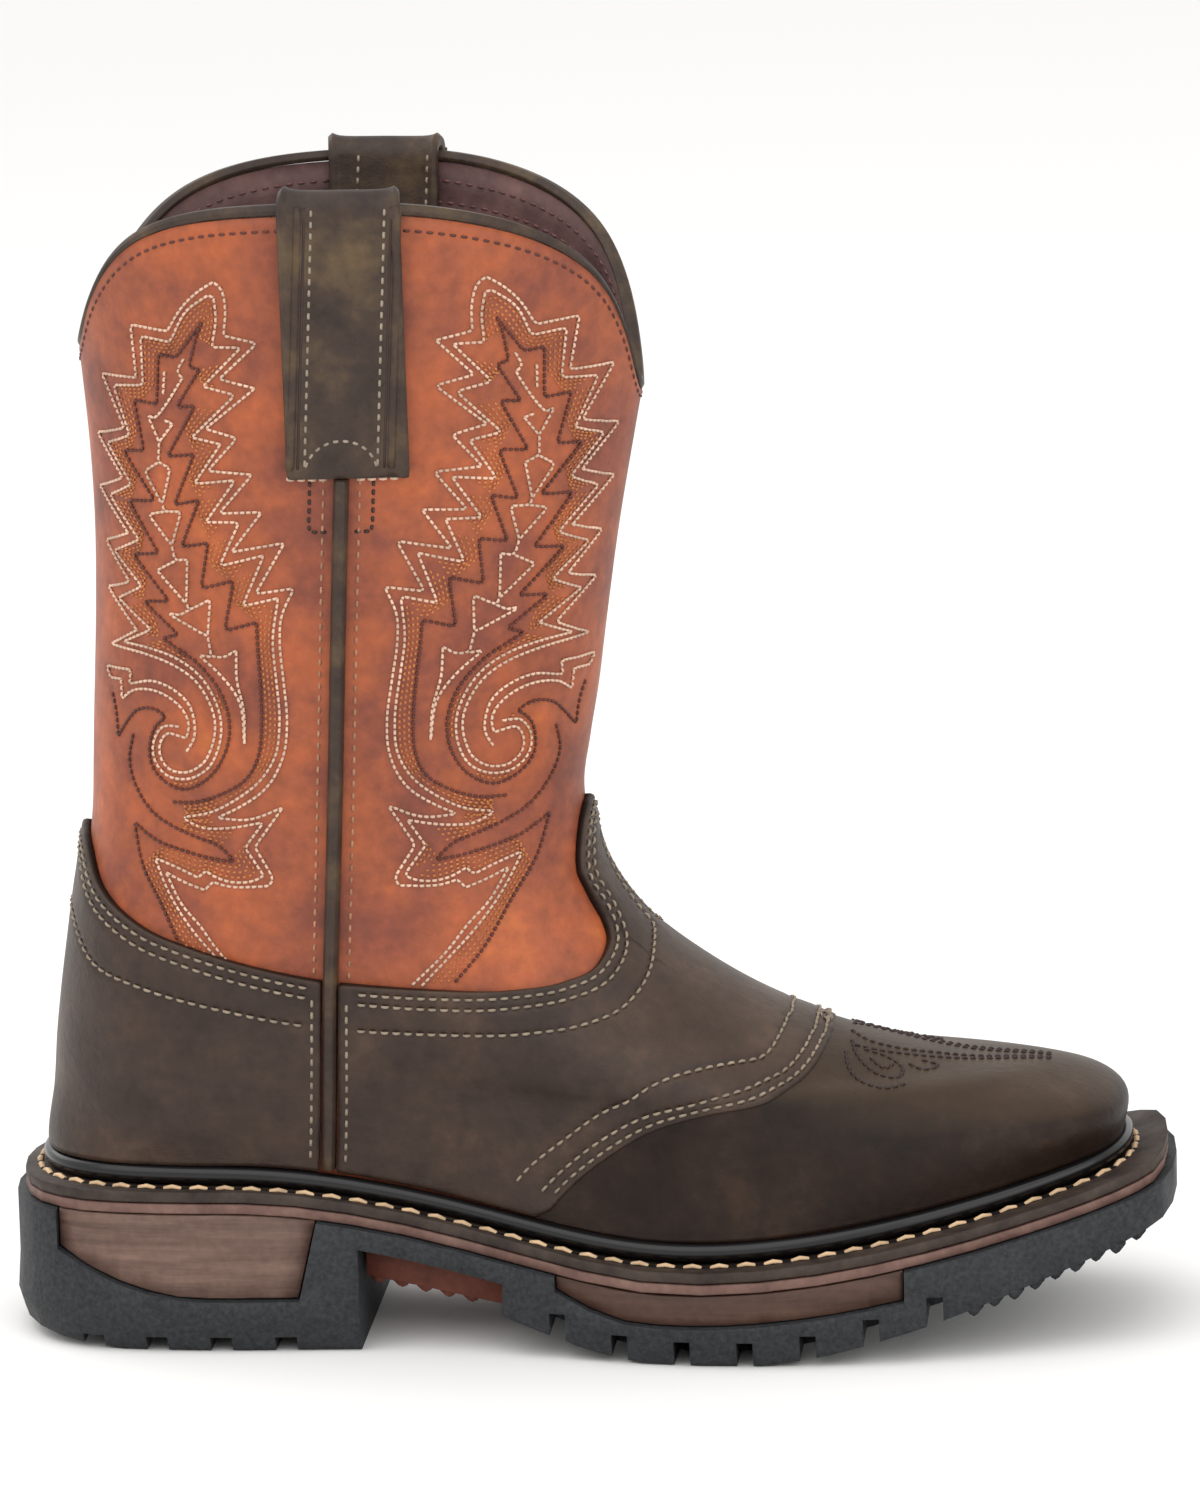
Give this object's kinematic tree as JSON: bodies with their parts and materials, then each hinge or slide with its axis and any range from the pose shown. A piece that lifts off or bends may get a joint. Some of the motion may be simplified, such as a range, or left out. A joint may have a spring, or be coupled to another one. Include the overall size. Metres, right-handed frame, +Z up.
{
  "type": "western boot",
  "caption": "Right western work boot in youth size: leather upper with scalloped shaft, pull straps, broad toe, lugged sole and low heel.",
  "frame": {"origin": "on the floor under the middle of the heel, in the boot's length plane", "axes": "+X to the toe, +Y to the wearer's left (the inner side of this right boot), +Z up"},
  "size_m": [0.2474, 0.0954, 0.2479],
  "materials": {
    "rust_leather": "oiled, mottled burnt orange",
    "dark_brown_leather": "oiled, dark chocolate with a grey cast",
    "grey_brown_leather": "weathered olive brown",
    "black_bead_rubber": "glossy",
    "grey_welt_leather": "matte edge",
    "pink_brown_midsole": "matte",
    "brown_wedge_board": "satin, grained",
    "black_sole_rubber": "matte charcoal",
    "red_brown_pad_rubber": "matte",
    "footbed_fabric": "matte"
  },
  "bodies": {
    "root": {"outsole": "black_sole_rubber", "heel_wedge": "brown_wedge_board", "forefoot_wedge": "brown_wedge_board", "shank_pad": "red_brown_pad_rubber", "midsole": "pink_brown_midsole", "welt": "grey_welt_leather", "insole": "footbed_fabric", "upper": "rust_leather", "rand": "black_bead_rubber", "vamp": "dark_brown_leather", "saddle": "dark_brown_leather", "counter": "dark_brown_leather", "piping_lateral": "grey_brown_leather", "piping_medial": "grey_brown_leather", "pull_strap_lateral": "grey_brown_leather", "pull_strap_medial": "grey_brown_leather", "top_binding": "grey_brown_leather"}
  },
  "joints": []
}
